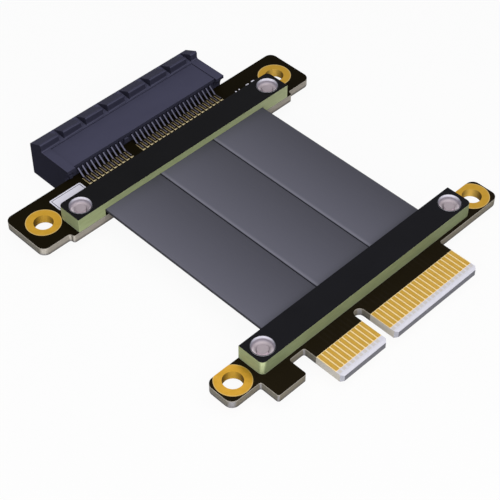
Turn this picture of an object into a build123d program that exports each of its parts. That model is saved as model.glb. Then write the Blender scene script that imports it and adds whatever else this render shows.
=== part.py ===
"""Card-edge extension cable: a slot connector on one board, a card edge on the other, three ribbons between.

X runs along the contact rows, Y from the card edge to the slot's mouth, and Z up from the slot
housing's underside, on which the part lies. The origin is at the bottom centre. Sizes are in mm.
"""

import os
from build123d import *

# Contacts, the same on the card edge and in the slot
pitch = 1.0
short_row_count = 11
long_row_count = 21
key_span = 3.0  # between the centres of the two contacts beside the key

# Boards, as wide as a cover bar and the two ears beyond its ends
ear_length = 7.4
board_thickness = 1.7
ear_corner_radius = 1.5
inner_corner_radius = 0.45
ring_radius = 3.25
hole_radius = 1.8
plating_thickness = 0.1
copper_thickness = 0.05

# Card board, from the tip of its tongue inwards
tongue_length = 5.7  # bare of mask
tongue_side_margin = 0.55  # beyond the last contact's centre
tongue_corner_chamfer = 0.55
bevel_length = 0.55
bevel_height = 0.2
mask_to_card_ear = 2.8
card_ear_depth = 6.1
key_notch_width = 2.1
key_notch_depth = 8.25
guide_tab_width = 6.45
guide_tab_reach = 4.0  # beyond the ear's front
guide_slot_width = 3.55
card_hole_from_end = 3.5
card_hole_from_back = 2.75
finger_width = 0.7
finger_length = 4.15
finger_tip_chamfer = 0.12

# Slot board
slot_ear_step = 1.0  # the middle stands out towards the cable by this much
slot_middle_margin = 1.3  # from the cover bar's end to the step
step_corner_radius = 0.5
slot_ear_depth = 10.85
slot_hole_from_end = 4.5
slot_hole_from_back = 5.45
pad_width = 0.7
pad_length = 2.2
pad_from_back = 2.65  # to the pad's centre

# Slot housing
housing_length = 39.0
housing_below_board = 2.5
mouth_depth = 9.7  # from the board's edge to the mating face
strip_height = 2.87  # heights are above the board's top face
panel_recess = 0.2
lip_peak_height = 4.45
lip_mouth_height = 3.07
lip_peak_from_mouth = 2.9
lip_peak_radius = 0.35
lip_foot_radius = 0.4
lip_foot_from_mouth = 3.25
end_strip_width = 1.85
strip_ledge_reach = 1.0  # over the board, behind its edge
panel_ledge_reach = 0.35
ledge_thickness = 0.65
ledge_flat = 0.45
ledge_foot_height = 0.6
groove_count = 7
groove_pitch = 5.32
groove_width = 1.2
first_groove = 4.83  # from the housing's end to the first groove's centre
key_rib_width = 1.7
slot_height_clearance = 0.1
slot_side_clearance = 0.1
slot_depth = 7.8
lead_in = 0.5
cavity_width = 0.55
cavity_height = 1.7  # from the card slot's ceiling
cavity_front_wall = 0.8
cavity_rear_wall = 1.2
key_boss_width = 1.25
key_boss_top_width = 0.85
key_boss_height = 0.9
key_boss_bottom = 0.7
key_boss_reach = 0.5
corner_boss_width = 0.7
corner_boss_height = 0.6
corner_boss_bottom = 0.15
corner_boss_inset = 0.9
corner_boss_reach = 0.3

# Formed contacts, from the solder foot to the tip behind the mouth
lead_width = 0.4
lead_thickness = 0.2
foot_length = 1.65
foot_heel = 1.65  # from the heel of the foot to the board's edge
shank_bend = 0.15  # from the bend above the foot to the board's edge
shank_height = 1.45
shank_length = 2.3
contact_bump_from_mouth = 2.8
contact_bump_drop = 0.3  # below the board's top face
contact_tip_from_mouth = 1.3
contact_tip_rise = 0.5

# Cover bars, with a pocket over the ribbons and a solid block at each end
bar_block_length = 6.325
bar_depth = 5.5
bar_height = 3.0
bar_corner_radius = 1.0
pocket_depth = 4.0
pocket_side_clearance = 0.05

# Rivets, one in each block of a bar
rivet_from_bar_end = 2.8
cup_radius = 2.15
cup_depth = 1.5
cup_wall = 0.2
cup_chamfer = 0.4
shank_radius = 1.35
pin_radius = 1.0
pin_rise = 0.6  # above the cup's floor
tail_radius = 1.8
tail_height = 0.5
tail_chamfer = 0.3
rivet_clearance = 0.03

# Ribbons and their stripped wires
ribbon_span = 39.7  # between the two boards
ribbon_count = 3
ribbon_gap = 0.05
ribbon_thickness = 0.9
ribbon_edge_radius = 0.4
ribbon_above_board = 0.6
ribbon_inserted = 1.5  # into each bar's pocket
ribbon_group_shift = -0.2
wires_per_ribbon = 10
wire_pitch = 1.27
ribbon_edge_margin = 0.835  # from the outer wire's centre to the ribbon's side
wire_size = 0.3
wire_drop_length = 1.0
wire_foot_length = 1.2
cable_pad_width = 0.8
cable_pad_margin = 0.15  # beyond the wire's foot at both its ends

# Positions along X
short_span = (short_row_count - 1) * pitch
long_span = (long_row_count - 1) * pitch
row_length = short_span + key_span + long_span
row_start = -row_length / 2
key_x = row_start + short_span + key_span / 2
contact_x = [row_start + i * pitch for i in range(short_row_count)]
contact_x += [row_start + short_span + key_span + i * pitch for i in range(long_row_count)]
tongue_half_width = row_length / 2 + tongue_side_margin
ribbon_width = (wires_per_ribbon - 1) * wire_pitch + 2 * ribbon_edge_margin
ribbon_pitch = ribbon_width + ribbon_gap
ribbon_start = ribbon_group_shift - (ribbon_count - 1) * ribbon_pitch / 2
ribbon_x = [ribbon_start + i * ribbon_pitch for i in range(ribbon_count)]
pocket_width = ribbon_count * ribbon_pitch + 2 * pocket_side_clearance
wire_start = -(wires_per_ribbon - 1) * wire_pitch / 2
wire_x = [x + wire_start + i * wire_pitch for x in ribbon_x for i in range(wires_per_ribbon)]
bar_length = pocket_width + 2 * bar_block_length
rivet_x = bar_length / 2 - rivet_from_bar_end
board_width = bar_length + 2 * ear_length
slot_middle_width = bar_length + 2 * slot_middle_margin
card_hole_x = board_width / 2 - card_hole_from_end
slot_hole_x = board_width / 2 - slot_hole_from_end

# Positions along Y, from the tongue's tip to the slot's mouth
card_board_depth = tongue_length + mask_to_card_ear + card_ear_depth
slot_board_depth = slot_ear_step + slot_ear_depth
overall_depth = card_board_depth + ribbon_span + slot_board_depth + mouth_depth
tip_y = -overall_depth / 2
mask_y = tip_y + tongue_length
card_ear_y = mask_y + mask_to_card_ear
card_back_y = card_ear_y + card_ear_depth
slot_front_y = card_back_y + ribbon_span
slot_ear_y = slot_front_y + slot_ear_step
wall_y = slot_ear_y + slot_ear_depth
mouth_y = wall_y + mouth_depth

# Positions along Z
board_bottom = housing_below_board
board_top = board_bottom + board_thickness
board_middle = board_bottom + board_thickness / 2
bar_top = board_top + bar_height
pocket_top = board_top + ribbon_above_board + ribbon_thickness
cup_floor = bar_top - cup_depth
cup_seat = cup_floor - cup_wall

# Each board's cable edge, and the way from it into the board
SLOT_SIDE = (slot_front_y, 1)
CARD_SIDE = (card_back_y, -1)


os.makedirs("parts", exist_ok=True)


def save(piece, name):
    """Label a finished piece and write it under its own name."""
    piece.part.label = name
    export_step(piece.part, f"parts/{name}.step")


def corners_at(sketch, *points):
    """The sketch's corners nearest to the points."""
    return [sketch.vertices().sort_by_distance((x, y, 0))[0] for x, y in points]


def rectangle_between(x0, x1, y0, y1, mode=Mode.ADD):
    """A rectangle in the open sketch, from its sides."""
    with Locations(((x0 + x1) / 2, (y0 + y1) / 2)):
        Rectangle(x1 - x0, y1 - y0, mode=mode)


def strip_part(points, thickness, width):
    """One bent strip: points (y, z) on its centreline, seen from the side, and its width along X."""
    with BuildPart() as strip:
        with BuildLine(Plane.YZ) as route:
            Polyline(*points)
        with BuildSketch(Plane(origin=route.line @ 0, x_dir=(1, 0, 0), z_dir=route.line % 0)):
            Rectangle(width, thickness)
        sweep(transition=Transition.RIGHT)
    return strip.part


def row_of(part, positions):
    """Copies of a part along X, kept as separate solids of one group."""
    with BuildPart() as row:
        with Locations(*[(x, 0, 0) for x in positions]):
            add(part)
    return row


def mirrored_about_board(row):
    """The same group on the board's other side."""
    with BuildPart() as other:
        add(row.part)
        mirror(about=Plane.XY.offset(board_middle), mode=Mode.REPLACE)
    return other


def pad_row(positions, width, length, centre_y):
    """Flat pads on the board's top face."""
    with BuildPart() as pads:
        with BuildSketch(Plane.XY.offset(board_top)):
            with Locations(*[(x, centre_y) for x in positions]):
                Rectangle(width, length)
        extrude(amount=copper_thickness)
    return pads


# Card board: two ears, a guide tab, a guide slot, the keyed and bevelled tongue
guide_slot_x = -tongue_half_width - guide_slot_width
guide_tab_x = guide_slot_x - guide_tab_width
tab_front_y = card_ear_y - guide_tab_reach
notch_radius = key_notch_width / 2
notch_round_y = tip_y + key_notch_depth - notch_radius
card_holes = [(side * card_hole_x, card_back_y - card_hole_from_back) for side in (-1, 1)]
card_rivets = [(side * rivet_x, card_back_y - bar_depth / 2) for side in (-1, 1)]

with BuildPart() as card_board:
    with BuildSketch(Plane.XY.offset(board_bottom)) as card_outline:
        rectangle_between(-board_width / 2, board_width / 2, card_ear_y, card_back_y)
        rectangle_between(guide_tab_x, guide_slot_x, tab_front_y, card_ear_y)
        rectangle_between(-tongue_half_width, tongue_half_width, tip_y, card_ear_y)
        rectangle_between(key_x - notch_radius, key_x + notch_radius, tip_y, notch_round_y, Mode.SUBTRACT)
        with Locations((key_x, notch_round_y)):
            Circle(notch_radius, mode=Mode.SUBTRACT)
        ears = [(x, y) for x in (-board_width / 2, board_width / 2) for y in (card_ear_y, card_back_y)]
        fillet(corners_at(card_outline, *ears), ear_corner_radius)
        rounded = [(guide_tab_x, tab_front_y), (guide_slot_x, tab_front_y)]
        inner_x = (guide_tab_x, guide_slot_x, -tongue_half_width, tongue_half_width)
        rounded += [(x, card_ear_y) for x in inner_x]
        fillet(corners_at(card_outline, *rounded), inner_corner_radius)
        front_x = (-tongue_half_width, key_x - notch_radius, key_x + notch_radius, tongue_half_width)
        chamfer(corners_at(card_outline, *[(x, tip_y) for x in front_x]), tongue_corner_chamfer)
        with Locations(*card_holes):
            Circle(hole_radius + plating_thickness, mode=Mode.SUBTRACT)
        with Locations(*card_rivets):
            Circle(shank_radius + rivet_clearance, mode=Mode.SUBTRACT)
    extrude(amount=board_thickness)
    with BuildSketch(Plane.YZ):
        for face_z, inward in ((board_top, -1), (board_bottom, 1)):
            with BuildLine():
                Polyline(
                    (tip_y, face_z),
                    (tip_y + bevel_length, face_z),
                    (tip_y, face_z + inward * bevel_height),
                    close=True,
                )
            make_face()
    extrude(amount=tongue_half_width, both=True, mode=Mode.SUBTRACT)
save(card_board, "card_board")

# Gold fingers on the tongue, one row a side
with BuildPart() as edge_fingers_top:
    with BuildSketch(Plane.XY.offset(board_top)) as fingers:
        with Locations(*[(x, mask_y - finger_length / 2) for x in contact_x]):
            Rectangle(finger_width, finger_length)
        chamfer(fingers.vertices().group_by(Axis.Y)[0], finger_tip_chamfer)
    extrude(amount=copper_thickness)
save(edge_fingers_top, "edge_fingers_top")
edge_fingers_bottom = mirrored_about_board(edge_fingers_top)
save(edge_fingers_bottom, "edge_fingers_bottom")

# Slot board: wider in the middle than at the ears on the cable's side
slot_holes = [(side * slot_hole_x, wall_y - slot_hole_from_back) for side in (-1, 1)]
slot_rivets = [(side * rivet_x, slot_front_y + bar_depth / 2) for side in (-1, 1)]

with BuildPart() as slot_board:
    with BuildSketch(Plane.XY.offset(board_bottom)) as slot_outline:
        rectangle_between(-board_width / 2, board_width / 2, slot_ear_y, wall_y)
        rectangle_between(-slot_middle_width / 2, slot_middle_width / 2, slot_front_y, slot_ear_y)
        ears = [(x, y) for x in (-board_width / 2, board_width / 2) for y in (slot_ear_y, wall_y)]
        fillet(corners_at(slot_outline, *ears), ear_corner_radius)
        step_radius = min(step_corner_radius, 0.49 * slot_ear_step)
        for side in (-1, 1):
            step_x = side * slot_middle_width / 2
            fillet(corners_at(slot_outline, (step_x, slot_front_y), (step_x, slot_ear_y)), step_radius)
        with Locations(*slot_holes):
            Circle(hole_radius + plating_thickness, mode=Mode.SUBTRACT)
        with Locations(*slot_rivets):
            Circle(shank_radius + rivet_clearance, mode=Mode.SUBTRACT)
    extrude(amount=board_thickness)
save(slot_board, "slot_board")

# Solder pads under the formed leads, one row a side
pads_y = wall_y - pad_from_back
slot_pads_top = pad_row(contact_x, pad_width, pad_length, pads_y)
save(slot_pads_top, "slot_pads_top")
slot_pads_bottom = mirrored_about_board(slot_pads_top)
save(slot_pads_bottom, "slot_pads_bottom")


def hole_plating(centre, back_y):
    """A plated barrel with a ring on both faces, cut off at the board's back edge."""
    with BuildPart() as plating:
        with BuildSketch(Plane.XY.offset(board_bottom)):
            with Locations(centre):
                Circle(hole_radius + plating_thickness)
                Circle(hole_radius, mode=Mode.SUBTRACT)
        extrude(amount=board_thickness)
        for ring_z in (board_top, board_bottom - copper_thickness):
            with BuildSketch(Plane.XY.offset(ring_z)):
                with Locations(centre):
                    Circle(ring_radius)
                    Circle(hole_radius, mode=Mode.SUBTRACT)
                left, right = centre[0] - ring_radius, centre[0] + ring_radius
                rectangle_between(left, right, back_y, back_y + ring_radius, Mode.SUBTRACT)
            extrude(amount=copper_thickness)
    return plating


for centres, back_y, board in ((card_holes, card_back_y, "card"), (slot_holes, wall_y, "slot")):
    for centre, side in zip(centres, ("left", "right")):
        save(hole_plating(centre, back_y), f"{board}_hole_plating_{side}")


# Slot housing: one moulding round the card slot, with a cavity for every contact
housing_end = housing_length / 2
strip_top = board_top + strip_height
panel_top = strip_top - panel_recess
lip_back_y = mouth_y - lip_foot_from_mouth
slot_half_height = board_thickness / 2 + slot_height_clearance
slot_half_length = tongue_half_width + slot_side_clearance
cavity_back_y = wall_y + cavity_rear_wall
cavity_front_y = mouth_y - cavity_front_wall
key_side = key_rib_width / 2

with BuildPart() as slot_housing:
    with BuildSketch(Plane.YZ.offset(-housing_end)) as section:
        with BuildLine():
            Polyline(
                (wall_y, 0),
                (mouth_y, 0),
                (mouth_y, board_top + lip_mouth_height),
                (mouth_y - lip_peak_from_mouth, board_top + lip_peak_height),
                (lip_back_y, board_top + lip_peak_height),
                (lip_back_y, strip_top),
                (wall_y, strip_top),
                close=True,
            )
        make_face()
        peak = corners_at(section, (lip_back_y, board_top + lip_peak_height))
        fillet(peak, min(lip_peak_radius, lip_foot_from_mouth - lip_peak_from_mouth - 0.01))
        fillet(corners_at(section, (lip_back_y, strip_top)), lip_foot_radius)
    extrude(amount=housing_length)

    # Roof: strips at both ends that stand above the middle panel, ledges behind them
    panel_end = housing_end - end_strip_width
    with BuildSketch(Plane.XY.offset(panel_top)):
        rectangle_between(-panel_end, panel_end, wall_y, lip_back_y - lip_foot_radius)
    extrude(amount=panel_recess, mode=Mode.SUBTRACT)
    panel_foot = panel_top - ledge_thickness - board_top
    for x0, x1, top, reach, foot_height in (
        (-housing_end, -panel_end, strip_top, strip_ledge_reach, ledge_foot_height),
        (panel_end, housing_end, strip_top, strip_ledge_reach, ledge_foot_height),
        (-panel_end, panel_end, panel_top, panel_ledge_reach, panel_foot),
    ):
        with BuildSketch(Plane.YZ.offset(x0)):
            with BuildLine():
                Polyline(
                    (wall_y, top),
                    (wall_y - reach, top),
                    (wall_y - reach, top - ledge_thickness),
                    (wall_y - reach + min(ledge_flat, reach / 2), top - ledge_thickness),
                    (wall_y, board_top + foot_height),
                    close=True,
                )
            make_face()
        extrude(amount=x1 - x0)

    # Grooves that cut the lip into teeth and run out at the mouth
    for i in range(groove_count):
        groove_x = first_groove + i * groove_pitch - housing_end
        with BuildSketch(Plane.YZ.offset(groove_x - groove_width / 2)):
            with BuildLine():
                Polyline(
                    (lip_back_y - lip_foot_radius, strip_top),
                    (mouth_y, board_top + lip_mouth_height),
                    (mouth_y, strip_top + lip_peak_height),
                    (lip_back_y - lip_foot_radius, strip_top + lip_peak_height),
                    close=True,
                )
            make_face()
        extrude(amount=groove_width, mode=Mode.SUBTRACT)

    # Small bosses low on the rear wall: one at the key, one at the first corner
    with BuildSketch(Plane.XZ.offset(-wall_y)):
        with BuildLine():
            Polyline(
                (key_x - key_boss_width / 2, board_top + key_boss_bottom),
                (key_x + key_boss_width / 2, board_top + key_boss_bottom),
                (key_x + key_boss_top_width / 2, board_top + key_boss_bottom + key_boss_height),
                (key_x - key_boss_top_width / 2, board_top + key_boss_bottom + key_boss_height),
                close=True,
            )
        make_face()
    extrude(amount=key_boss_reach)
    with BuildSketch(Plane.XZ.offset(-wall_y)):
        boss_x = corner_boss_inset - housing_end
        boss_z = board_top + corner_boss_bottom
        rectangle_between(boss_x, boss_x + corner_boss_width, boss_z, boss_z + corner_boss_height)
    extrude(amount=corner_boss_reach)

    # Card slot, on both sides of the key rib, and its lead-in
    with BuildSketch(Plane.XZ.offset(-mouth_y)):
        for x0, x1 in ((-slot_half_length, key_x - key_side), (key_x + key_side, slot_half_length)):
            rectangle_between(x0, x1, board_middle - slot_half_height, board_middle + slot_half_height)
    extrude(amount=slot_depth, mode=Mode.SUBTRACT)
    for x0, x1 in ((-slot_half_length, key_x - key_side), (key_x + key_side, slot_half_length)):
        with BuildSketch(Plane.YZ.offset(x0)):
            with BuildLine():
                Polyline(
                    (mouth_y, board_middle - slot_half_height - lead_in),
                    (mouth_y, board_middle + slot_half_height + lead_in),
                    (mouth_y - lead_in, board_middle + slot_half_height),
                    (mouth_y - lead_in, board_middle - slot_half_height),
                    close=True,
                )
            make_face()
        extrude(amount=x1 - x0, mode=Mode.SUBTRACT)

    # Contact cavities above and below the slot, and the hole that holds each contact's shank
    cavity_reach = slot_half_height + cavity_height
    with BuildSketch(Plane.XY.offset(board_middle - cavity_reach)):
        with Locations(*[(x, (cavity_back_y + cavity_front_y) / 2) for x in contact_x]):
            Rectangle(cavity_width, cavity_front_y - cavity_back_y)
    extrude(amount=2 * cavity_reach, mode=Mode.SUBTRACT)
    with BuildSketch(Plane.XZ.offset(-wall_y)):
        shank_rise = board_thickness / 2 + shank_height
        with Locations(*[(x, board_middle + side * shank_rise) for x in contact_x for side in (-1, 1)]):
            Rectangle(lead_width, lead_thickness)
    extrude(amount=-cavity_rear_wall, mode=Mode.SUBTRACT)
save(slot_housing, "slot_housing")

# Formed contacts: solder foot, heel, shank in the rear wall, beam, contact bump and tip
foot_z = board_top + copper_thickness + lead_thickness / 2
shank_z = board_top + shank_height
slot_contacts_top = row_of(
    strip_part(
        [
            (wall_y - foot_heel - foot_length, foot_z),
            (wall_y - foot_heel, foot_z),
            (wall_y - shank_bend, shank_z),
            (wall_y + shank_length, shank_z),
            (mouth_y - contact_bump_from_mouth, board_top - contact_bump_drop),
            (mouth_y - contact_tip_from_mouth, board_top + contact_tip_rise),
        ],
        lead_thickness,
        lead_width,
    ),
    contact_x,
)
save(slot_contacts_top, "slot_contacts_top")
slot_contacts_bottom = mirrored_about_board(slot_contacts_top)
save(slot_contacts_bottom, "slot_contacts_bottom")


def cover_bar(cable_side, rivets):
    """A laminate bar over the ribbons' ends: a pocket on the cable's side, rounded on the other."""
    edge_y, inward = cable_side
    far_y = edge_y + inward * bar_depth
    near, far = sorted((edge_y, far_y))
    pocket_near, pocket_far = sorted((edge_y, edge_y + inward * pocket_depth))
    with BuildPart() as bar:
        with BuildSketch(Plane.XY.offset(board_top)) as outline:
            rectangle_between(-bar_length / 2, bar_length / 2, near, far)
            fillet(corners_at(outline, (-bar_length / 2, far_y), (bar_length / 2, far_y)), bar_corner_radius)
        extrude(amount=bar_height)
        with BuildSketch(Plane.XY.offset(board_top)):
            pocket_x = ribbon_group_shift - pocket_width / 2
            rectangle_between(pocket_x, pocket_x + pocket_width, pocket_near, pocket_far)
        extrude(amount=pocket_top - board_top, mode=Mode.SUBTRACT)
        with BuildSketch(Plane.XY.offset(cup_seat)):
            with Locations(*rivets):
                Circle(cup_radius + rivet_clearance)
        extrude(amount=bar_top - cup_seat, mode=Mode.SUBTRACT)
        with BuildSketch(Plane.XY.offset(board_top)):
            with Locations(*rivets):
                Circle(shank_radius + rivet_clearance)
        extrude(amount=cup_seat - board_top, mode=Mode.SUBTRACT)
    return bar


save(cover_bar(SLOT_SIDE, slot_rivets), "slot_cover_bar")
save(cover_bar(CARD_SIDE, card_rivets), "card_cover_bar")

# Rivet: a cup let into the bar, a hollow shank through bar and board, a tail formed under the board
tail_z = board_bottom - tail_height
with BuildPart() as rivet:
    with BuildSketch(Plane.XZ) as section:
        with BuildLine():
            Polyline(
                (pin_radius + rivet_clearance, tail_z),
                (tail_radius - tail_chamfer, tail_z),
                (tail_radius, tail_z + tail_chamfer),
                (tail_radius, board_bottom),
                (shank_radius, board_bottom),
                (shank_radius, cup_seat),
                (cup_radius, cup_seat),
                (cup_radius, bar_top),
                (cup_radius - cup_wall, bar_top),
                (cup_radius - cup_wall, cup_floor),
                (pin_radius + rivet_clearance, cup_floor),
                close=True,
            )
        make_face()
        chamfer(corners_at(section, (cup_radius - cup_wall, cup_floor)), cup_chamfer)
    revolve(axis=Axis.Z)

with BuildPart() as rivet_pin:
    with BuildSketch(Plane.XY.offset(tail_z)):
        Circle(pin_radius)
    extrude(amount=cup_floor + pin_rise - tail_z)

for centres, board in ((slot_rivets, "slot"), (card_rivets, "card")):
    for centre, side in zip(centres, ("left", "right")):
        for piece, name in ((rivet, "rivet"), (rivet_pin, "rivet_pin")):
            with BuildPart() as placed:
                with Locations(centre):
                    add(piece.part)
            save(placed, f"{board}_{name}_{side}")

# Ribbons: flat bodies with rounded edges, from pocket to pocket
ribbon_middle_z = board_top + ribbon_above_board + ribbon_thickness / 2
for x, name in zip(ribbon_x, ("ribbon_left", "ribbon_middle", "ribbon_right")):
    with BuildPart() as ribbon:
        with BuildSketch(Plane.XZ.offset(ribbon_inserted - card_back_y)):
            with Locations((x, ribbon_middle_z)):
                edge_radius = min(ribbon_edge_radius, 0.45 * ribbon_thickness)
                RectangleRounded(ribbon_width, ribbon_thickness, edge_radius)
        extrude(amount=-(ribbon_span + 2 * ribbon_inserted))
    save(ribbon, name)


# Stripped wires: from the ribbons' ends down to pads, inside both pockets
pad_top = board_top + copper_thickness
wire_heel = ribbon_inserted + wire_drop_length
wire_end = wire_heel + wire_foot_length

for (edge_y, inward), board in ((SLOT_SIDE, "slot"), (CARD_SIDE, "card")):
    start_y, heel_y, end_y = [edge_y + inward * reach for reach in (ribbon_inserted, wire_heel, wire_end)]
    with BuildPart() as tail:
        with BuildSketch(Plane.YZ.offset(-wire_size / 2)):
            with BuildLine():
                Polyline(
                    (start_y, ribbon_middle_z - wire_size / 2),
                    (heel_y, pad_top),
                    (end_y, pad_top),
                    (end_y, pad_top + wire_size),
                    (heel_y, pad_top + wire_size),
                    (start_y, ribbon_middle_z + wire_size / 2),
                    close=True,
                )
            make_face()
        extrude(amount=wire_size)
    save(row_of(tail.part, wire_x), f"{board}_wire_tails")
    pad_y = edge_y + inward * (wire_heel + wire_end) / 2
    pads = pad_row(wire_x, cable_pad_width, wire_foot_length + 2 * cable_pad_margin, pad_y)
    save(pads, f"{board}_cable_pads")
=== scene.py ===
"""Looks of a card-edge extension cable: two small boards, two laminate bars, three flat ribbons, one slot.

Lengths are written in millimetres and turned into metres by MM. The frame is the part's own: X along
the contact rows, Y from the card edge to the slot's mouth, Z up from the housing's underside. Colours
are written as display colours, two hexadecimal digits each for red, green and blue.
"""

import math

import bmesh
import bpy
from mathutils import Matrix, Vector


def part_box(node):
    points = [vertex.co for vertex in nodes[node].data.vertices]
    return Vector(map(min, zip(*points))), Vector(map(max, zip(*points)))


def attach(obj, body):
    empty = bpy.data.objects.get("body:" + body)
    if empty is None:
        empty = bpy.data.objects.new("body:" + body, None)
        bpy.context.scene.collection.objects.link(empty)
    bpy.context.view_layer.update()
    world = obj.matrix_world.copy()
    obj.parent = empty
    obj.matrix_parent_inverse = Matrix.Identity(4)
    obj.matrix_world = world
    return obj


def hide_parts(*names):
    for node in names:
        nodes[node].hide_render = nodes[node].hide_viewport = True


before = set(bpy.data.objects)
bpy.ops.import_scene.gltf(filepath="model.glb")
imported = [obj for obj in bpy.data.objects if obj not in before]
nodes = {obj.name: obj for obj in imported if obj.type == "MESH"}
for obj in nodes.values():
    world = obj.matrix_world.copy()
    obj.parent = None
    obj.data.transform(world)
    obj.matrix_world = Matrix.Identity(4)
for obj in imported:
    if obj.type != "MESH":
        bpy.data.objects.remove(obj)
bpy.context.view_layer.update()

MM = 0.001

# Places taken from the frame
card_low, card_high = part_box("card_board")
slot_bar_low, slot_bar_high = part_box("slot_cover_bar")
card_bar_low, card_bar_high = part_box("card_cover_bar")
fingers_low, fingers_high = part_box("edge_fingers_top")
ribbon_low, ribbon_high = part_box("ribbon_middle")
housing_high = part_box("slot_housing")[1]
BOARD_BOTTOM = card_low.z
BOARD_TOP = card_high.z
BAR_BOTTOM = slot_bar_low.z
BAR_TOP = slot_bar_high.z
MASK_LINE = fingers_high.y
FINGER_END = fingers_low.y
PADS_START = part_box("slot_pads_top")[0].y
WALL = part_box("slot_board")[1].y

# The contact rows, whose places along X are the same on both boards
PITCH = 1.0 * MM
ROW_LENGTH = 33.0 * MM
ROW_START = fingers_low.x + (fingers_high.x - fingers_low.x - ROW_LENGTH) / 2
ROW_END = ROW_START + ROW_LENGTH
KEY_EDGE = ROW_START + 10.6 * MM
LAST_FINGER_START = KEY_EDGE - 1.2 * MM
TONGUE_HALF_WIDTH = 17.05 * MM

# Where one look gives way to the next on a contact, a pad, a ring, a bar or the housing
FOOT_HEEL = WALL - 1.65 * MM
GOLD_START = housing_high.y - 4.6 * MM
PAD_END = PADS_START + 0.3 * MM
RING_RADIUS = 3.25 * MM
RING_LINE = 0.13 * MM
RECESS_HALF_LENGTH = 25.7 * MM
RECESS_HALF_WIDTH = 2.4 * MM
HOUSING_END = housing_high.x - 0.2 * MM

# The rivets, in millimetres: radii, heights and depths, and the cup's wall as radius and depth
RIVET_BORE = 1.03
RIVET_SHANK = 1.35
RIVET_TAIL = 1.8
CUP_RADIUS = 2.15
CUP_HEIGHT = 1.7
CUP_DEPTH = 1.5
CUP_WALL = ((2.03, 0.0), (1.92, 0.4), (1.86, 0.95))
PIN_RADIUS = 1.0
PIN_RISE = 0.12
PIN_EASING = 0.12

ARC_STEPS = 5
TURN_SEGMENTS = 72
INK_THICKNESS = 0.02 * MM


def colour(text):
    """A display colour such as 'c99a30' as linear red, green, blue, alpha."""
    parts = [int(text[i:i + 2], 16) / 255 for i in (0, 2, 4)]
    linear = [c / 12.92 if c <= 0.04045 else ((c + 0.055) / 1.055) ** 2.4 for c in parts]
    return (*linear, 1.0)


def feed(tree, socket, value):
    """Link a socket to another, or set its value; a text is a display colour."""
    if isinstance(value, bpy.types.NodeSocket):
        tree.links.new(value, socket)
    else:
        socket.default_value = colour(value) if isinstance(value, str) else value


def new_node(tree, kind, values=None, **settings):
    """A node of that kind; values go to its sockets, from another socket or as they are."""
    made = tree.nodes.new(kind)
    for key, value in settings.items():
        setattr(made, key, value)
    for key, value in (values or {}).items():
        feed(tree, made.inputs[key], value)
    return made


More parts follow.
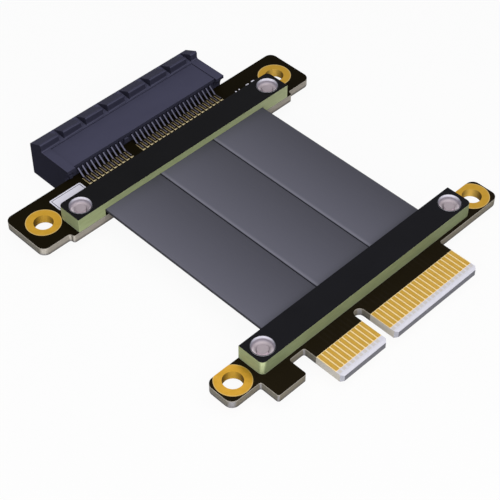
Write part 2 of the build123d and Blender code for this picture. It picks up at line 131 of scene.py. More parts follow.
class Finish:
    """A node material, built one node at a time round one Principled shader."""

    def __init__(self, name, roughness=0.5, metallic=0.0, specular=0.5):
        self.material = bpy.data.materials.new(name)
        self.material.use_nodes = True
        self.tree = self.material.node_tree
        self.shader = self.tree.nodes["Principled BSDF"]
        self.shader.inputs["Roughness"].default_value = roughness
        self.shader.inputs["Metallic"].default_value = metallic
        self.shader.inputs["Specular IOR Level"].default_value = specular
        self.place = new_node(self.tree, "ShaderNodeTexCoord").outputs["Object"]
        self.normal = new_node(self.tree, "ShaderNodeNewGeometry").outputs["Normal"]
        self.x, self.y, self.z = self.split(self.place)
        self.height = None

    def split(self, vector):
        """The three parts of a vector."""
        parts = new_node(self.tree, "ShaderNodeSeparateXYZ", {0: vector})
        return parts.outputs[0], parts.outputs[1], parts.outputs[2]

    def math(self, operation, a, b=0.0, c=0.0):
        """One Math node."""
        return new_node(self.tree, "ShaderNodeMath", {0: a, 1: b, 2: c}, operation=operation).outputs[0]

    def product(self, first, *others):
        """The product of several values."""
        for other in others:
            first = self.math("MULTIPLY", first, other)
        return first

    def scaled(self, value, factor, start):
        """The value times a factor, added to a start."""
        return self.math("MULTIPLY_ADD", value, factor, start)

    def distance(self, value, centre):
        """How far the value is from a centre, to either side."""
        return self.math("ABSOLUTE", self.math("SUBTRACT", value, centre))

    def between(self, value, low, high):
        """1 where the value lies between two limits, else 0."""
        above = self.math("GREATER_THAN", value, low)
        below = self.math("LESS_THAN", value, high)
        return self.product(above, below)

    def ramp(self, value, low, high):
        """The value's place between two limits, from 0 to 1."""
        return new_node(self.tree, "ShaderNodeMapRange", {0: value, 1: low, 2: high}, clamp=True).outputs[0]

    def mix(self, factor, a, b):
        """A colour between two colours."""
        values = {"Factor": factor, 6: a, 7: b}
        return new_node(self.tree, "ShaderNodeMix", values, data_type="RGBA").outputs[2]

    def noise(self, size, stretch=(1, 1, 1), detail=3.0, roughness=0.55):
        """Noise whose grains measure about the given millimetres, longer by the stretch."""
        scale = [1.0 / (size * MM * s) for s in stretch]
        place = new_node(self.tree, "ShaderNodeVectorMath", {0: self.place, 1: scale}, operation="MULTIPLY")
        values = {"Vector": place.outputs[0], "Scale": 1.0, "Detail": detail, "Roughness": roughness}
        return new_node(self.tree, "ShaderNodeTexNoise", values).outputs[0]

    def stripes(self, value, start, pitch, share):
        """1 on stripes centred at start plus whole pitches, whose width is a share of the pitch."""
        turn = self.math("DIVIDE", self.math("SUBTRACT", value, start), pitch)
        off_centre = self.distance(turn, self.math("ROUND", turn))
        return self.ramp(off_centre, share / 2 + 0.05, share / 2 - 0.05)

    def flat(self):
        """1 on faces that look up or down, else 0."""
        return self.math("GREATER_THAN", self.math("ABSOLUTE", self.split(self.normal)[2]), 0.6)

    def sides(self):
        """1 on faces that look along X, and 1 where an edge or a corner is rounded."""
        parts = [self.math("ABSOLUTE", part) for part in self.split(self.normal)]
        steepest = self.math("MAXIMUM", self.math("MAXIMUM", parts[0], parts[1]), parts[2])
        return self.ramp(parts[0], 0.8, 0.95), self.ramp(steepest, 0.97, 0.85)

    def facing(self, x, y):
        """How squarely the surface looks along a level direction, from -1 to 1."""
        values = {0: self.normal, 1: Vector((x, y, 0)).normalized()}
        return new_node(self.tree, "ShaderNodeVectorMath", values, operation="DOT_PRODUCT").outputs["Value"]

    def raise_by(self, value, amount):
        """Add to the surface's height, in millimetres."""
        step = self.product(value, amount * MM)
        self.height = step if self.height is None else self.math("ADD", self.height, step)

    def finish(self, base, roughness=None, metallic=None):
        """Connect the colour, the other maps and the height, and hand over the material."""
        maps = {"Base Color": base, "Roughness": roughness, "Metallic": metallic}
        if self.height is not None:
            values = {"Strength": 1.0, "Distance": 1.0, "Height": self.height}
            maps["Normal"] = new_node(self.tree, "ShaderNodeBump", values).outputs[0]
        for name, value in maps.items():
            if value is not None:
                feed(self.tree, self.shader.inputs[name], value)
        return self.material


def laminate_edge(f, edge_tones, corner):
    """The cut edge of a circuit board: layered glass, darker towards the foot, with painted shade on the
    faces that look along X and painted highlights along the upper edge and on rounded corners.
    """
    level = f.ramp(f.z, BOARD_BOTTOM, BOARD_TOP)
    facing_x, rounding = f.sides()
    streaks = f.ramp(f.noise(0.12, stretch=(12, 12, 1), detail=2.0), 0.35, 0.7)
    # Faces that look along X take darker tones than the rest: painted shade.
    body = f.mix(facing_x, f.mix(streaks, *edge_tones), f.mix(streaks, "757168", "817d74"))
    # Rounded corners and edges take the corner colour: a painted highlight.
    body = f.mix(rounding, body, corner)
    # Darker towards the foot, darker still where it looks along X as painted shade, with a painted
    # highlight on rounded corners.
    foot = f.mix(facing_x, "67635f", "5c5a5a")
    foot = f.mix(rounding, foot, "8e8c8e")
    near_foot = f.ramp(level, 0.38, 0.08)
    # The pale band along the top is a painted highlight.
    top_highlight_band = f.ramp(level, 0.84, 0.92)
    return f.mix(top_highlight_band, f.mix(near_foot, body, foot), "aaa49a")


def bare_tongue(f):
    """Where the contact tongue is bare, the look of its faces, and the look of its cut edges."""
    on_tongue = f.math("LESS_THAN", f.math("ABSOLUTE", f.x), TONGUE_HALF_WIDTH + 0.05 * MM)
    bared = f.product(on_tongue, f.math("LESS_THAN", f.y, MASK_LINE + 0.12 * MM))
    resin = f.mix(f.noise(0.3, stretch=(1, 4, 1)), "ead095", "f5e0a9")
    tip = f.mix(f.noise(0.6, detail=2.0), "d0cfd9", "d9d9e4")
    in_line = f.stripes(f.x, ROW_START, PITCH, 0.66)
    beyond_end = f.between(f.y, FINGER_END - 0.75 * MM, FINGER_END - 0.12 * MM)
    elsewhere = f.math("SUBTRACT", 1.0, f.between(f.x, LAST_FINGER_START, KEY_EDGE))
    tip = f.mix(f.product(in_line, beyond_end, elsewhere, 0.7), tip, "c8c1b9")
    on_tip = f.math("LESS_THAN", f.y, FINGER_END - 0.06 * MM)
    face = f.mix(on_tip, resin, tip)

    # The cut edges are toned by the way they face: darker on the front, and painted light on the sides that
    # look along X and on the rounded parts between.
    facing_x = f.math("ABSOLUTE", f.split(f.normal)[0])
    side = f.mix(f.noise(0.3, stretch=(1, 8, 1)), "c6c1b8", "d0cbc3")
    front = f.mix(f.noise(0.3, stretch=(8, 1, 1)), "74747a", "7e7e85")
    cut = f.mix(f.ramp(facing_x, 0.2, 0.5), front, "b4b4be")
    cut = f.mix(f.ramp(facing_x, 0.85, 0.95), cut, side)
    return bared, face, cut


def board_finish(name, mask_tones, edge_tones, corner, trace_start, trace_end, has_tongue):
    """A board under black solder mask, with cut edges, faint traces and, on one, the bare tongue."""
    f = Finish(name, roughness=0.42, specular=0.01)
    flat = f.flat()
    weave = f.product(f.noise(0.5, detail=1.0), f.noise(0.35, detail=1.0))
    fine = f.noise(0.08, detail=2.0)
    face = f.mix(f.noise(7.0, detail=2.0), *mask_tones)

    in_rows = f.between(f.x, ROW_START - PITCH / 2, ROW_END + PITCH / 2)
    in_zone = f.between(f.y, trace_start, trace_end)
    broken = f.ramp(f.noise(3.0, detail=1.0), 0.45, 0.6)
    traces = f.product(f.stripes(f.x, ROW_START, PITCH, 0.34), in_rows, in_zone, broken)
    face = f.mix(f.product(traces, 0.3), face, "25201a")
    f.raise_by(f.product(traces, flat), 0.005)
    f.raise_by(weave, 0.004)
    f.raise_by(fine, 0.0012)

    edge = laminate_edge(f, edge_tones, corner)
    if has_tongue:
        bared, tongue, cut = bare_tongue(f)
        face = f.mix(bared, face, tongue)
        edge = f.mix(bared, edge, cut)
    return f.finish(f.mix(flat, edge, face), roughness=f.scaled(flat, -0.2, f.scaled(fine, 0.12, 0.58)))


def bar_finish(name, middle_y, mask_tones, long_tones, end_tones, corner, right_lighting_tone):
    """Thick green laminate, black on top, below and in its recesses, with painted light and shade on its
    green sides: tones by the way each face looks, a darker top, painted highlights along the lower edge and
    on rounded edges, and a painted change of light towards its right end.
    """
    f = Finish(name, roughness=0.5, specular=0.03)
    facing_x, rounding = f.sides()
    layers = f.noise(0.16, stretch=(14, 14, 1), detail=3.0)
    fibres = f.noise(0.10, stretch=(3, 3, 1), detail=2.0)
    streaks = f.ramp(layers, 0.3, 0.72)
    # Long sides and ends are lit and shaded copies of one laminate: painted light and shade.
    green = f.mix(facing_x, f.mix(streaks, *long_tones), f.mix(streaks, *end_tones))
    green = f.mix(f.product(fibres, 0.2), green, "a3aa88")
    level = f.ramp(f.z, BAR_BOTTOM, BAR_TOP)
    lower_edge_highlight = f.ramp(level, 0.08, 0.03)
    towards_right = f.ramp(f.x, 8 * MM, 30 * MM)
    # Darker towards the top: painted shade.
    green = f.mix(f.product(level, 0.12), green, "4c5038")
    # A pale line along the lower edge: a painted highlight.
    green = f.mix(f.product(lower_edge_highlight, 0.5), green, "b4b6a4")
    # Towards the right end the long sides turn to the right-end tone: a painted change of light.
    green = f.mix(f.product(towards_right, 0.35), green, right_lighting_tone)
    # Rounded edges and corners take the corner colour: a painted highlight.
    green = f.mix(rounding, green, corner)
    mask = f.mix(f.noise(5.0, detail=3.0), *mask_tones)
    near_middle = f.math("LESS_THAN", f.distance(f.y, middle_y), RECESS_HALF_WIDTH)
    between_ends = f.math("LESS_THAN", f.math("ABSOLUTE", f.x), RECESS_HALF_LENGTH)
    black = f.math("MAXIMUM", f.flat(), f.product(near_middle, between_ends))
    f.raise_by(layers, 0.004)
    f.raise_by(f.noise(0.07, detail=2.0), 0.0015)
    return f.finish(f.mix(black, green, mask), roughness=f.scaled(f.noise(0.4), 0.12, 0.42))


def housing_finish():
    """Glass-filled moulded plastic: fine grain and slight flow marks, with painted light on the level
    faces, painted shade on the ends and other faces that look along X, and painted highlights on rounded
    edges.
    """
    f = Finish("housing_plastic", roughness=0.55, specular=0.02)
    grain = f.noise(0.09, detail=4.0, roughness=0.65)
    flow = f.noise(3.5, stretch=(3, 1, 1), detail=3.0)
    facing_x, rounding = f.sides()
    level = f.ramp(f.math("ABSOLUTE", f.split(f.normal)[2]), 0.93, 0.98)
    # Level faces are paler than sloped and upright ones: painted light.
    base = f.mix(level, f.mix(flow, "333343", "383849"), f.mix(flow, "434356", "48485c"))
    at_end = f.math("GREATER_THAN", f.math("ABSOLUTE", f.x), HOUSING_END)
    # Faces that look along X are darker, the housing's ends darkest: painted shade.
    base = f.mix(facing_x, base, f.mix(at_end, "2a2a38", f.mix(flow, "131321", "161625")))
    # Rounded edges are paler: a painted highlight.
    base = f.mix(f.ramp(rounding, 0.85, 1.0), base, "48485b")
    base = f.mix(f.product(f.ramp(grain, 0.55, 0.8), 0.2), base, "4a4a5c")
    f.raise_by(grain, 0.003)
    return f.finish(base, roughness=f.scaled(grain, 0.16, 0.48))


def metal_finish(name, low, high):
    """A plated metal whose tone wanders between two colours, with fine marks."""
    f = Finish(name, roughness=0.4, metallic=1.0)
    marks = f.noise(0.25, detail=4.0)
    tone = f.ramp(f.noise(1.4, detail=2.0), 0.3, 0.7)
    f.raise_by(marks, 0.001)
    return f.finish(f.mix(tone, low, high), roughness=f.scaled(marks, 0.16, 0.32))


def finger_finish():
    """Hard gold on the contact fingers: drawn along, and duller towards their long edges."""
    f = Finish("finger_gold", roughness=0.34, metallic=1.0)
    marks = f.noise(0.12, stretch=(1, 14, 1), detail=4.0)
    tone = f.ramp(f.noise(1.4, detail=2.0), 0.3, 0.7)
    middle = f.stripes(f.x, ROW_START, PITCH, 0.46)
    base = f.mix(middle, "c8a050", f.mix(tone, "d5a843", "dfb24f"))
    f.raise_by(marks, 0.001)
    return f.finish(base, roughness=f.scaled(marks, 0.16, 0.26))


def lead_finish():
    """Formed contacts: tin on the tails, dull where soldered down, gold where they touch a card, with
    painted shade along the tails' edges and sides and a painted shadow beside each foot.
    """
    f = Finish("lead_plating", roughness=0.36, metallic=1.0)
    marks = f.noise(0.08, stretch=(1, 8, 1), detail=4.0)
    facing_x, rounding = f.sides()
    tail_middle = f.stripes(f.x, ROW_START, PITCH, 0.22)
    # Outside a middle stripe the tails are dark: painted shade along their edges.
    tail = f.mix(tail_middle, "2a2a34", f.mix(f.noise(0.9, detail=2.0), "5c5c6e", "666679"))
    foot_middle = f.stripes(f.x, ROW_START + 0.07 * MM, PITCH, 0.20)
    # Outside a middle stripe the feet are near black: a painted shadow beside them.
    foot = f.mix(foot_middle, "14110e", f.mix(f.noise(0.3, detail=3.0), "78727c", "847e88"))
    gold = f.mix(f.noise(0.6, detail=2.0), "c99f45", "d5ad55")
    on_foot = f.ramp(f.y, FOOT_HEEL + 0.15 * MM, FOOT_HEEL - 0.15 * MM)
    # Faces that look along X take darker tones: painted shade.
    base = f.mix(facing_x, f.mix(on_foot, tail, foot), f.mix(on_foot, "24242c", "6c6048"))
    base = f.mix(f.ramp(f.y, GOLD_START, GOLD_START + 0.2 * MM), base, gold)
    f.raise_by(marks, 0.001)
    return f.finish(base, roughness=f.scaled(marks, 0.18, 0.3))


def pad_finish():
    """Solder pads: pale gold along one side and the outer end, greyer on the end's side towards +X, and
    elsewhere a dark tone that is partly solder and partly painted shadow beside and under the lead.
    """
    f = Finish("slot_pad_gold", roughness=0.42, metallic=1.0)
    # Greyer on the side towards +X.
    greyer_part = f.stripes(f.x, ROW_START + 0.25 * MM, PITCH, 0.4)
    gold = f.mix(f.product(greyer_part, 0.7), f.mix(f.noise(0.5, detail=3.0), "e0cf9e", "e8d8ac"), "80776a")
    # The dark tone is partly solder and partly a painted shadow beside and under the lead.
    solder_and_shadow = f.mix(f.noise(0.3, detail=3.0), "15120c", "1d1912")
    solder_and_shadow_mask = f.stripes(f.x, ROW_START + 0.14 * MM, PITCH, 0.62)
    inside = f.math("GREATER_THAN", f.y, PAD_END)
    f.raise_by(f.noise(0.1, detail=3.0), 0.001)
    return f.finish(f.mix(f.product(solder_and_shadow_mask, inside), gold, solder_and_shadow))


def ring_finish(name, left_corner, low, high):
    """Gold round a board's two mounting holes, with painted shade on the right ring's face and painted
    light in its bore.

    The face has turned marks and a painted highlight along the outer edge. The bore has painted shade
    towards two sides.
    """
    f = Finish(name, roughness=0.34, metallic=1.0, specular=0.1)
    flat = f.flat()
    on_right = f.math("GREATER_THAN", f.x, 0.0)
    across = f.math("SUBTRACT", f.math("ABSOLUTE", f.x), -left_corner.x - RING_RADIUS)
    along = f.math("SUBTRACT", f.y, left_corner.y + RING_RADIUS)
    radius = f.math("SQRT", f.math("ADD", f.product(across, across), f.product(along, along)))
    tone = f.noise(0.9, detail=3.0)
    gold = f.mix(f.ramp(tone, 0.3, 0.7), low, high)
    # The right ring's face is duller: painted shade.
    gold = f.mix(f.product(on_right, 0.45), gold, "b08c34")
    # A paler line along the outer edge: a painted highlight.
    outer_highlight = f.math("GREATER_THAN", radius, RING_RADIUS - RING_LINE)
    gold = f.mix(f.product(outer_highlight, 0.5), gold, "ecd69c")
    # The bore darkens towards two sides as painted shade, and is brighter on the right ring as painted
    # light.
    shaded = f.ramp(f.math("ABSOLUTE", f.facing(1, -1)), 0.15, 1.0)
    bore = f.mix(shaded, f.mix(on_right, "d6aa40", "f4ca62"), "5a420c")
    turning_marks = f.math("SINE", f.product(radius, 2 * math.pi / (0.16 * MM)))
    f.raise_by(f.product(turning_marks, f.noise(0.5)), 0.0008)
    f.raise_by(f.noise(0.06, detail=3.0), 0.0008)
    rough = f.scaled(flat, -0.45, f.scaled(tone, 0.12, 0.73))
    return f.finish(f.mix(flat, bore, gold), roughness=rough, metallic=flat)


def satin_metal(name, low, high, roughness):
    """The start of a rivet's finish: satin metal with a fine grain, its colour and its roughness."""
    f = Finish(name, roughness=roughness, metallic=0.3, specular=0.3)
    grain = f.noise(0.12, detail=4.0)
    base = f.mix(f.noise(1.0, detail=2.0), low, high)
    f.raise_by(grain, 0.0008)
    return f, base, f.scaled(grain, 0.18, roughness - 0.09)


def cup_finish():
    """A rivet's cup: painted light on the floor away from the front left, a wall toned by height with a
    painted highlight on its upper part, and a black rim of painted shade.
    """
    f, base, rough = satin_metal("rivet_metal", "a3999f", "ada3a9", 0.55)
    floor = BAR_TOP - CUP_DEPTH * MM
    on_wall = f.ramp(f.z, floor + 0.45 * MM, floor + 0.6 * MM)
    on_upper_wall = f.ramp(f.z, floor + 0.9 * MM, floor + 1.15 * MM)
    # The black rim is painted shade.
    rim_shade_mask = f.math("GREATER_THAN", f.z, BAR_TOP - 0.01 * MM)
    front_left = f.facing(-1, -1)
    # The upper wall turned to the front left is pale: a painted highlight.
    upper_wall = f.mix(f.ramp(front_left, 0.3, 0.9), "9696a2", "f0eefa")
    wall = f.mix(on_upper_wall, "a69ea9", upper_wall)
    # The floor turned away from the front left is paler: painted light.
    base = f.mix(f.ramp(front_left, 0.25, -0.2), base, "fbf2f8")
    return f.finish(f.mix(rim_shade_mask, f.mix(on_wall, base, wall), "141417"), roughness=rough)


def pin_finish():
    """A rivet's pin, with painted shade on its sides, dark turning pale towards the front left."""
    f, base, rough = satin_metal("rivet_pin_metal", "a0959b", "aca1a7", 0.6)
    # Painted shade: the sides darken away from the front left.
    side = f.mix(f.ramp(f.facing(-1, -1), 0.2, 0.6), "7c7278", "d6cad0")
    on_side = f.ramp(f.split(f.normal)[2], 0.5, 0.2)
    return f.finish(f.mix(on_side, base, side), roughness=rough)


def ribbon_finish():
    """A flat extruded jacket: satin, slightly crowned, with drawn marks along its length.

    Each ribbon carries painted light, paler towards its left; all but the first have a painted highlight on
    the left border, and the seams carry painted shade.
    """
    f = Finish("ribbon_jacket", roughness=0.5, specular=0.2)
    middle = (ribbon_low.x + ribbon_high.x) / 2
    pitch = ribbon_high.x - ribbon_low.x + 0.05 * MM
    turn = f.math("DIVIDE", f.math("SUBTRACT", f.x, middle), pitch)
    across = f.math("SUBTRACT", turn, f.math("ROUND", turn))
    drawn = f.noise(0.25, stretch=(1, 40, 1), detail=3.0)
    grain = f.noise(0.07, detail=3.0)
    base = f.mix(f.ramp(drawn, 0.3, 0.7), "42424c", "45454f")
    # Paler towards each ribbon's left: painted light.
    base = f.mix(f.ramp(across, 0.5, -0.5), base, "5c5c68")
    base = f.mix(f.product(f.ramp(grain, 0.5, 0.8), 0.12), base, "5c5c68")
    past_first_border = f.math("GREATER_THAN", f.x, middle - 1.45 * pitch)
    # A paler left border: a painted highlight.
    left_border_highlight = f.ramp(across, -0.440, -0.475)
    base = f.mix(f.product(left_border_highlight, past_first_border), base, "6e6e7a")
    # Dark seams between the ribbons: painted shade.
    last_border = f.math("GREATER_THAN", f.x, middle + 1.4 * pitch)
    seam_start = f.scaled(last_border, -0.008, 0.487)
    seam_shade = f.ramp(f.math("ABSOLUTE", across), seam_start, f.math("ADD", seam_start, 0.008))
    base = f.mix(seam_shade, base, "22222a")
    f.raise_by(f.product(across, across, -4.0), 0.45)
    f.raise_by(drawn, 0.0006)
    f.raise_by(grain, 0.0008)
    return f.finish(base, roughness=f.scaled(drawn, 0.1, 0.45))


def ink_finish(name, line_centre=None, line_size=None):
    """Screen-printed white ink, slightly uneven, with a thin line let into a field."""
    f = Finish(name, roughness=0.55, specular=0.1)
    grain = f.noise(0.08, detail=3.0)
    base = f.mix(grain, "dbd9e8", "e8e6f2")
    if line_centre:
        outside = []
        for place, centre, size in zip((f.x, f.y), line_centre, line_size):
            outside.append(f.math("SUBTRACT", f.distance(place, centre * MM), size / 2 * MM))
        line = f.between(f.math("MAXIMUM", *outside), -0.06 * MM, 0.06 * MM)
        base = f.mix(line, base, "4c4c56")
    f.raise_by(grain, 0.002)
    return f.finish(base)


def dress(node_name, material):
    """Give a CAD node one material in all its slots."""
    slots = nodes[node_name].material_slots
    for material_slot in slots:
        material_slot.material = material
    if not slots:
        nodes[node_name].data.materials.append(material)


def dress_all():
    """Put each CAD node's finish on it."""
    slot_bar_middle = (slot_bar_low.y + slot_bar_high.y) / 2
    card_bar_middle = (card_bar_low.y + card_bar_high.y) / 2
    card_ring = ring_finish("card_ring_gold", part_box("card_hole_plating_left")[0], "deaa3a", "e8b244")
    slot_ring = ring_finish("slot_ring_gold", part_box("slot_hole_plating_left")[0], "d0a034", "d8a83c")
    fingers = finger_finish()
    cable_pads = metal_finish("pad_gold", "e8cf98", "f0ddac")
    slot_pads = pad_finish()
    leads = lead_finish()
    wires = metal_finish("wire_tin", "b4b4b8", "c8c8cc")
    ribbon = ribbon_finish()
    # Each bar's long and end tones are lit and shaded copies of one laminate, the card bar's long sides
    # darker and its ends paler than the slot bar's: painted light and shade. The corner colours are painted
    # highlights; the last colour is a painted change of light towards the right end, paler on the slot bar
    # and darker on the card bar.
    slot_bar = bar_finish("slot_bar_laminate", slot_bar_middle, ("131315", "18181a"),
                          ("95a072", "a9b387"), ("828c65", "939c76"), "aab38a", "bec0a2")
    card_bar = bar_finish("card_bar_laminate", card_bar_middle, ("161619", "1b1b1f"),
                          ("7f8a63", "919b75"), ("8e9a70", "a1ac86"), "bfca9c", "565a40")
    # The last colour of each board is the painted highlight on the rounded corners of its cut edges.
    card_mask = board_finish("card_board_mask", ("1b160c", "1e190f"), ("7c7669", "8a8477"), "9b999b",
                             MASK_LINE, card_bar_low.y, True)
    slot_mask = board_finish("slot_board_mask", ("141006", "18140a"), ("999288", "a7a197"), "bfb9af",
                             slot_bar_high.y, PADS_START, False)
    for node_name, material in (
        ("card_board", card_mask),
        ("slot_board", slot_mask),
        ("slot_housing", housing_finish()),
        ("slot_contacts_top", leads),
        ("slot_contacts_bottom", leads),
        ("slot_pads_top", slot_pads),
        ("slot_pads_bottom", slot_pads),
        ("slot_cable_pads", cable_pads),
        ("card_cable_pads", cable_pads),
        ("slot_wire_tails", wires),
        ("card_wire_tails", wires),
        ("edge_fingers_top", fingers),
        ("edge_fingers_bottom", fingers),
        ("slot_cover_bar", slot_bar),
        ("card_cover_bar", card_bar),
        ("ribbon_left", ribbon),
        ("ribbon_middle", ribbon),
        ("ribbon_right", ribbon),
        ("card_hole_plating_left", card_ring),
        ("card_hole_plating_right", card_ring),
        ("slot_hole_plating_left", slot_ring),
        ("slot_hole_plating_right", slot_ring),
    ):
        dress(node_name, material)


def soften(node_name, width, angle=30):
    """Round a node's sharp edges by a hair, without changing its own vertices."""
    piece = nodes[node_name]
    weld = piece.modifiers.new("weld", "WELD")
    weld.merge_threshold = 0.0005 * MM
    flat = piece.modifiers.new("flat", "DECIMATE")
    flat.decimate_type = "DISSOLVE"
    flat.angle_limit = math.radians(0.5)
    bevel = piece.modifiers.new("edges", "BEVEL")
    bevel.width = width * MM
    bevel.segments = 2
    bevel.limit_method = "ANGLE"
    bevel.angle_limit = math.radians(angle)
    bevel.harden_normals = True


def rounded(profile, index, radius):
    """A profile's points, with the corner at that index turned into an arc of about that radius."""
    corner = Vector(profile[index])
    before = (Vector(profile[index - 1]) - corner).normalized() * radius
    after = (Vector(profile[index + 1]) - corner).normalized() * radius
    arc = []
    for i in range(ARC_STEPS + 1):
        t = i / ARC_STEPS
        arc.append(tuple(corner + before * (1 - t) ** 2 + after * t ** 2))
    return profile[:index] + arc + profile[index + 1:]


def turned(name, profile, centre, material):
    """A piece turned about an upright axis: profile points are (radius, height) in millimetres."""
    form = bmesh.new()
    rings = []
    for radius, height in profile:
        ring = []
        for i in range(TURN_SEGMENTS if radius > 0 else 1):
            angle = 2 * math.pi * i / TURN_SEGMENTS
            x = centre[0] + radius * MM * math.cos(angle)
            y = centre[1] + radius * MM * math.sin(angle)
            ring.append(form.verts.new((x, y, height * MM)))
        rings.append(ring)
    for low, high in zip(rings, rings[1:]):
        for i in range(TURN_SEGMENTS):
            j = (i + 1) % TURN_SEGMENTS
            corners = [low[i % len(low)], low[j % len(low)], high[j % len(high)], high[i % len(high)]]
            form.faces.new(list(dict.fromkeys(corners)))
    bmesh.ops.recalc_face_normals(form, faces=form.faces)
    mesh = bpy.data.meshes.new(name)
    form.to_mesh(mesh)
    form.free()
    mesh.shade_smooth()
    mesh.set_sharp_from_angle(angle=math.radians(40))
    mesh.materials.append(material)
    piece = bpy.data.objects.new(name, mesh)
    bpy.context.scene.collection.objects.link(piece)
    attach(piece, "root")
    return piece


def cup_profile(foot, top):
    """A rivet's section: its rounded tail, shank, flared mouth and sloping floor.

    Corners are rounded from the last to the first, so that those still to come keep their places.
    """
    under, over = BOARD_BOTTOM / MM, top - CUP_HEIGHT
    wall = [(radius, top - depth) for radius, depth in CUP_WALL]
    profile = [(RIVET_BORE, foot), (RIVET_TAIL, foot), (RIVET_TAIL, under), (RIVET_SHANK, under),
               (RIVET_SHANK, over), (CUP_RADIUS, over), (CUP_RADIUS, top), *wall,
               (RIVET_BORE, top - CUP_DEPTH), (RIVET_BORE, foot)]
    for index, radius in ((9, 0.25), (8, 0.2), (7, 0.03), (6, 0.03), (5, 0.15), (1, 0.3)):
        profile = rounded(profile, index, radius)
    return profile


def place_rivets():
    """At each rivet, a turned cup and a pin with an eased end, in place of the plain CAD ones."""
    cup_metal = cup_finish()
    pin_metal = pin_finish()
    for board in ("card", "slot"):
        for side in ("left", "right"):
            low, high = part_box(f"{board}_rivet_{side}")
            centre = ((low.x + high.x) / 2, (low.y + high.y) / 2)
            cup = cup_profile(low.z / MM, high.z / MM)
            shell = turned(f"{board}_rivet_cup_{side}", cup, centre, cup_metal)
            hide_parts(f"{board}_rivet_{side}")
            low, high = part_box(f"{board}_rivet_pin_{side}")
            foot, top = low.z / MM, high.z / MM + PIN_RISE
            pin = rounded([(0, foot), (PIN_RADIUS, foot), (PIN_RADIUS, top), (0, top)], 2, PIN_EASING)
            core = turned(f"{board}_rivet_core_{side}", pin, centre, pin_metal)
            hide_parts(f"{board}_rivet_pin_{side}")


def printed_mark(name, centre, size, corner, ink):
    """A thin rounded plate of ink on the board's top face."""
    half_x, half_y = size[0] / 2, size[1] / 2
    mesh = bpy.data.meshes.new(name)
    form = bmesh.new()
    ring = []
    for quarter, (sign_x, sign_y) in enumerate(((1, 1), (-1, 1), (-1, -1), (1, -1))):
        for i in range(ARC_STEPS + 1):
            angle = (quarter + i / ARC_STEPS) * math.pi / 2
            x = centre[0] + sign_x * (half_x - corner) + corner * math.cos(angle)
            y = centre[1] + sign_y * (half_y - corner) + corner * math.sin(angle)
            ring.append(form.verts.new((x * MM, y * MM, BOARD_TOP)))
    base = form.faces.new(ring)
    lifted = bmesh.ops.extrude_face_region(form, geom=[base])
    raised = [v for v in lifted["geom"] if isinstance(v, bmesh.types.BMVert)]
    bmesh.ops.translate(form, verts=raised, vec=(0, 0, INK_THICKNESS))
    bmesh.ops.recalc_face_normals(form, faces=form.faces)
    form.to_mesh(mesh)
    form.free()
    mark = bpy.data.objects.new(name, mesh)
    bpy.context.scene.collection.objects.link(mark)
    mesh.materials.append(ink)
    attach(mark, "root")


def print_marks():
    """The slot board's generic marks: a blank label field, two dashes and two dots."""
    wall_y = WALL / MM
    field_centre = (-21.4, wall_y - 3.6)
    field_ink = ink_finish("field_ink", field_centre, (6.5, 2.5))
    plain_ink = ink_finish("printed_ink")
    dash, dot = (0.8, 0.32), (0.36, 0.36)
    printed_mark("label_field", field_centre, (7.2, 3.2), 0.35, field_ink)
    printed_mark("print_dash_1", (23.25, wall_y - 3.75), dash, 0.12, plain_ink)
    printed_mark("print_dash_2", (24.75, wall_y - 3.69), dash, 0.12, plain_ink)
    printed_mark("print_dot_1", (20.2, wall_y - 3.7), dot, 0.17, plain_ink)
    printed_mark("print_dot_2", (21.1, wall_y - 3.7), dot, 0.17, plain_ink)


# Camera, at the photograph's angle and distance: angles in radians, focal length in pixels
CAMERA_TARGET = Vector((-7.794, -7.568, BOARD_TOP / MM)) * MM
CAMERA_DISTANCE = 247.54 * MM
CAMERA_AZIMUTH = -0.78311
CAMERA_ELEVATION = 0.80724
CAMERA_ROLL = 0.00254
FOCAL_PIXELS = 1428.8
IMAGE_WIDTH = 500
SENSOR_WIDTH = 36.0
CLIP_NEAR = 0.01
CLIP_FAR = 10.0


def place_camera():
    """The camera that the photograph was taken with."""
    data = bpy.data.cameras.new("camera")
    data.sensor_width = SENSOR_WIDTH
    data.lens = FOCAL_PIXELS / IMAGE_WIDTH * SENSOR_WIDTH
    data.clip_start = CLIP_NEAR
    data.clip_end = CLIP_FAR
    camera = bpy.data.objects.new("camera", data)
    bpy.context.scene.collection.objects.link(camera)
    az, el = CAMERA_AZIMUTH, CAMERA_ELEVATION
    back = Vector((math.sin(az) * math.cos(el), -math.cos(az) * math.cos(el), math.sin(el)))
    right = Vector((math.cos(az), math.sin(az), 0))
    up = back.cross(right)
    rolled_right = right * math.cos(CAMERA_ROLL) + up * math.sin(CAMERA_ROLL)
    rolled_up = up * math.cos(CAMERA_ROLL) - right * math.sin(CAMERA_ROLL)
    place = CAMERA_TARGET + back * CAMERA_DISTANCE
    turn = Matrix((rolled_right, rolled_up, back)).transposed().to_4x4()
    camera.matrix_world = Matrix.Translation(place) @ turn
    bpy.context.scene.camera = camera


# Studio: lengths in metres, lamp power in watts, colours linear; a lamp's row is its name, place,
# size, power and tint
WORLD_TINT = (0.93, 0.94, 1.0, 1.0)
WORLD_STRENGTH = 0.24
WHITE = (1.0, 1.0, 1.0, 1.0)
MIRRORED_STRENGTH = 0.8
FLOOR_SIZE = 4.0
FLOOR_GREY = (0.72, 0.72, 0.72, 1.0)
FLOOR_ROUGHNESS = 0.9
FLOOR_WHITE_SHARE = 0.93
LAMPS = (
    ("key_light", (-0.05, -0.14, 0.24), 0.34, 0.77, (1.0, 0.99, 0.97)),
    ("left_light", (-0.25, -0.10, 0.12), 0.32, 0.29, (1.0, 1.0, 1.0)),
    ("back_light", (-0.14, 0.25, 0.10), 0.30, 0.19, (1.0, 1.0, 1.0)),
)


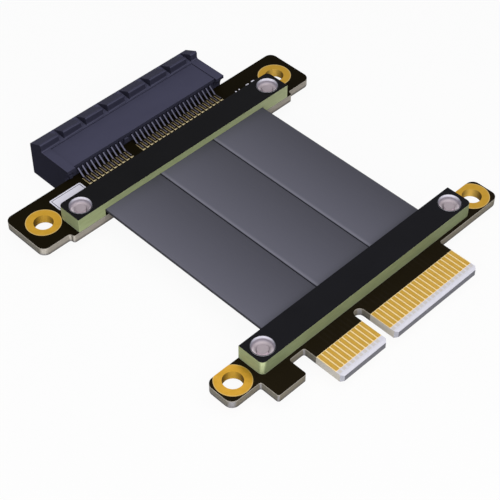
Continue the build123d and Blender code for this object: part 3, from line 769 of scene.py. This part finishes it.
def seen_directly(tree):
    """1 for rays from the camera, off gloss or through glass, else 0."""
    path = new_node(tree, "ShaderNodeLightPath")
    value = path.outputs["Is Camera Ray"]
    for kind in ("Is Glossy Ray", "Is Transmission Ray"):
        either = new_node(tree, "ShaderNodeMath", {0: value, 1: path.outputs[kind]}, operation="MAXIMUM")
        value = either.outputs[0]
    return value


def blend_shaders(tree, factor, first, second):
    """One shader that goes from the first to the second."""
    return new_node(tree, "ShaderNodeMixShader", {0: factor, 1: first, 2: second}).outputs[0]


def surround():
    """A dim world that lights the object, and a white one that the camera and gloss see."""
    world = bpy.data.worlds.new("studio")
    world.use_nodes = True
    tree = world.node_tree
    lighting = tree.nodes["Background"]
    lighting.inputs["Color"].default_value = WORLD_TINT
    lighting.inputs["Strength"].default_value = WORLD_STRENGTH
    straight = new_node(tree, "ShaderNodeLightPath").outputs["Is Camera Ray"]
    values = {0: straight, 1: 1.0 - MIRRORED_STRENGTH, 2: MIRRORED_STRENGTH}
    strength = new_node(tree, "ShaderNodeMath", values, operation="MULTIPLY_ADD").outputs[0]
    shown = new_node(tree, "ShaderNodeBackground", {"Color": WHITE, "Strength": strength})
    blend = blend_shaders(tree, seen_directly(tree), lighting.outputs[0], shown.outputs[0])
    tree.links.new(blend, tree.nodes["World Output"].inputs[0])
    bpy.context.scene.world = world


def lay_floor():
    """A pale floor that takes shadows, with plain white added for the camera and gloss."""
    bpy.ops.mesh.primitive_plane_add(size=FLOOR_SIZE, location=(0, 0, 0))
    floor = bpy.context.object
    floor.name = "floor"
    paint = bpy.data.materials.new("floor_paint")
    paint.use_nodes = True
    tree = paint.node_tree
    shader = tree.nodes["Principled BSDF"]
    shader.inputs["Base Color"].default_value = FLOOR_GREY
    shader.inputs["Roughness"].default_value = FLOOR_ROUGHNESS
    values = {0: seen_directly(tree), 1: FLOOR_WHITE_SHARE}
    share = new_node(tree, "ShaderNodeMath", values, operation="MULTIPLY").outputs[0]
    glow = new_node(tree, "ShaderNodeEmission", {"Strength": 1.0})
    blend = blend_shaders(tree, share, shader.outputs[0], glow.outputs[0])
    tree.links.new(blend, tree.nodes["Material Output"].inputs["Surface"])
    floor.data.materials.append(paint)


def light_object():
    """Square soft lamps above, on the left and behind, all aimed at the part's middle."""
    for name, place, size, power, tint in LAMPS:
        data = bpy.data.lights.new(name, "AREA")
        data.size = size
        data.energy = power
        data.color = tint
        lamp = bpy.data.objects.new(name, data)
        lamp.location = place
        lamp.rotation_euler = (-Vector(place)).to_track_quat("-Z", "Y").to_euler()
        bpy.context.scene.collection.objects.link(lamp)


dress_all()
soften("slot_housing", 0.07)
for bar_name in ("slot_cover_bar", "card_cover_bar"):
    soften(bar_name, 0.08)
for board_name in ("slot_board", "card_board"):
    soften(board_name, 0.05, angle=45)
place_rivets()
print_marks()
place_camera()
bpy.context.scene.view_settings.view_transform = "Standard"
surround()
lay_floor()
light_object()
